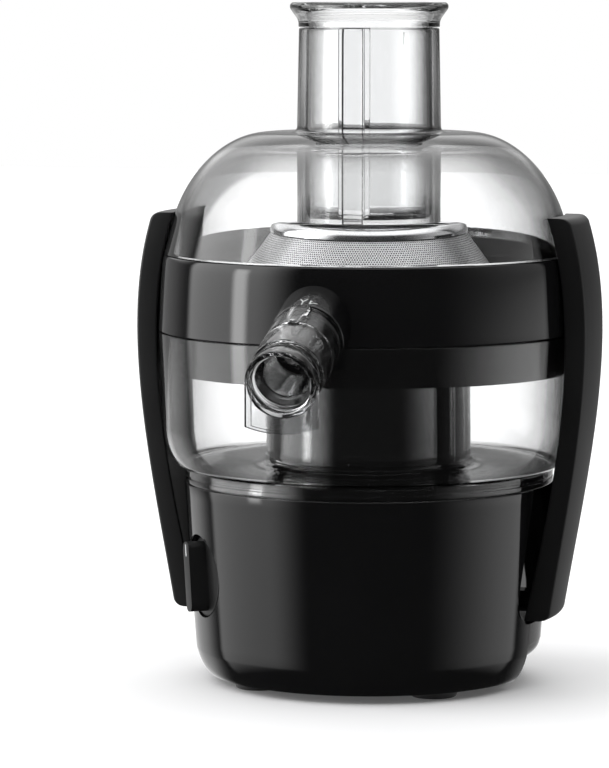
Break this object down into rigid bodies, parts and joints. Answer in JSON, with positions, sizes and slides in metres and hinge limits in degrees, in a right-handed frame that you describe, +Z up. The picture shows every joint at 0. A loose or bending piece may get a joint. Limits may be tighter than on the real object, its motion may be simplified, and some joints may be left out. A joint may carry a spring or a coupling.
{
  "type": "centrifugal juicer",
  "caption": "Upright juicer with a motor base, a clear pulp container, a juice collector with a spout, a domed lid with a feed tube and pusher, and side clamps.",
  "frame": {"origin": "on the floor, under the middle of the whole outline; the main upright axis stands 27.8 mm behind it", "axes": "+Z up, +X to the right-hand clamp, -Y along the spout"},
  "size_m": [0.2036, 0.2386, 0.2952],
  "materials": {
    "gloss_black": "glossy moulded black",
    "satin_black": "satin moulded black",
    "inner_black": "plain moulded dark",
    "clear": "clear polished",
    "smoke": "clear smoke tint",
    "polished_steel": "mirror polished stainless",
    "mesh_steel": "finely perforated sheet",
    "shaft_steel": "ground",
    "core_steel": "laminated",
    "copper": "enamelled wire or copper bar",
    "brass": "machined",
    "carbon": "pressed carbon",
    "cast_aluminium": "as cast",
    "rubber": "matt"
  },
  "bodies": {
    "base": {"front_housing": "gloss_black", "rear_housing": "gloss_black", "top_deck": "gloss_black", "shaft_seal": "rubber", "bottom_plate": "inner_black", "pulp_container": "clear", "juice_collector": "gloss_black", "spout_seal": "rubber", "rotary_switch": "inner_black", "lower_bracket": "cast_aluminium", "lower_bearing": "shaft_steel", "stator_core": "core_steel", "field_coil_right": "copper", "field_coil_left": "copper", "brush_holder_right": "brass", "brush_holder_left": "brass", "carbon_brush_right": "carbon", "carbon_brush_left": "carbon", "upper_bracket": "cast_aluminium", "upper_bearing": "shaft_steel", "motor_bolt_rear": "shaft_steel", "motor_bolt_front": "shaft_steel", "cord_gland": "rubber", "rubber_foot_1": "rubber", "bottom_screw_1": "shaft_steel", "motor_mount_1": "rubber", "rubber_foot_2": "rubber", "bottom_screw_2": "shaft_steel", "motor_mount_2": "rubber", "rubber_foot_3": "rubber", "bottom_screw_3": "shaft_steel", "motor_mount_3": "rubber", "rubber_foot_4": "rubber", "bottom_screw_4": "shaft_steel", "motor_mount_4": "rubber"},
    "lid": {"lid": "clear"},
    "pusher": {"pusher": "clear"},
    "rotor": {"motor_shaft": "shaft_steel", "cooling_fan": "inner_black", "commutator": "copper", "rotor_winding_lower": "copper", "rotor_core": "core_steel", "rotor_winding_upper": "copper", "drive_coupling": "brass", "filter_base": "satin_black", "filter_mesh": "mesh_steel", "filter_rim": "polished_steel", "grater_disc": "polished_steel"},
    "clamp_right": {"clamp_right": "satin_black", "clamp_pin_right": "shaft_steel"},
    "clamp_left": {"clamp_left": "satin_black", "clamp_pin_left": "shaft_steel"},
    "spout": {"spout": "smoke"},
    "knob": {"control_knob": "satin_black", "knob_spindle": "shaft_steel"}
  },
  "joints": [
    {"name": "clamp_right_hinge", "type": "hinge", "parent": "base", "child": "clamp_right", "pos_m": [0.0785, 0.02784, 0.0372], "axis": [0, 1, 0], "range_deg": [0, 35]},
    {"name": "clamp_left_hinge", "type": "hinge", "parent": "base", "child": "clamp_left", "pos_m": [-0.0785, 0.02784, 0.0372], "axis": [0, -1, 0], "range_deg": [0, 35]},
    {"name": "lid_lift", "type": "slide", "parent": "base", "child": "lid", "axis": [0, 0, 1], "range_m": [0, 0.024]},
    {"name": "pusher_slide", "type": "slide", "parent": "lid", "child": "pusher", "axis": [0, 0, 1], "range_m": [0, 0.09]},
    {"name": "filter_spin", "type": "hinge", "parent": "base", "child": "rotor", "pos_m": [0, 0.02784, 0.1655], "axis": [0, 0, 1], "continuous": true},
    {"name": "spout_twist", "type": "hinge", "parent": "base", "child": "spout", "pos_m": [0, -0.06216, 0.1621], "axis": [0, -0.9354, -0.3535], "range_deg": [0, 45]},
    {"name": "knob_turn", "type": "hinge", "parent": "base", "child": "knob", "pos_m": [-0.05825, -0.01448, 0.04869], "axis": [0.809, 0.5878, 0], "range_deg": [0, 60]}
  ],
  "couplings": [
    {"joint": "clamp_left_hinge", "follows": "clamp_right_hinge", "ratio": 1},
    {"joint": "lid_lift", "follows": "clamp_right_hinge", "m_per_rad": 0.03928}
  ]
}
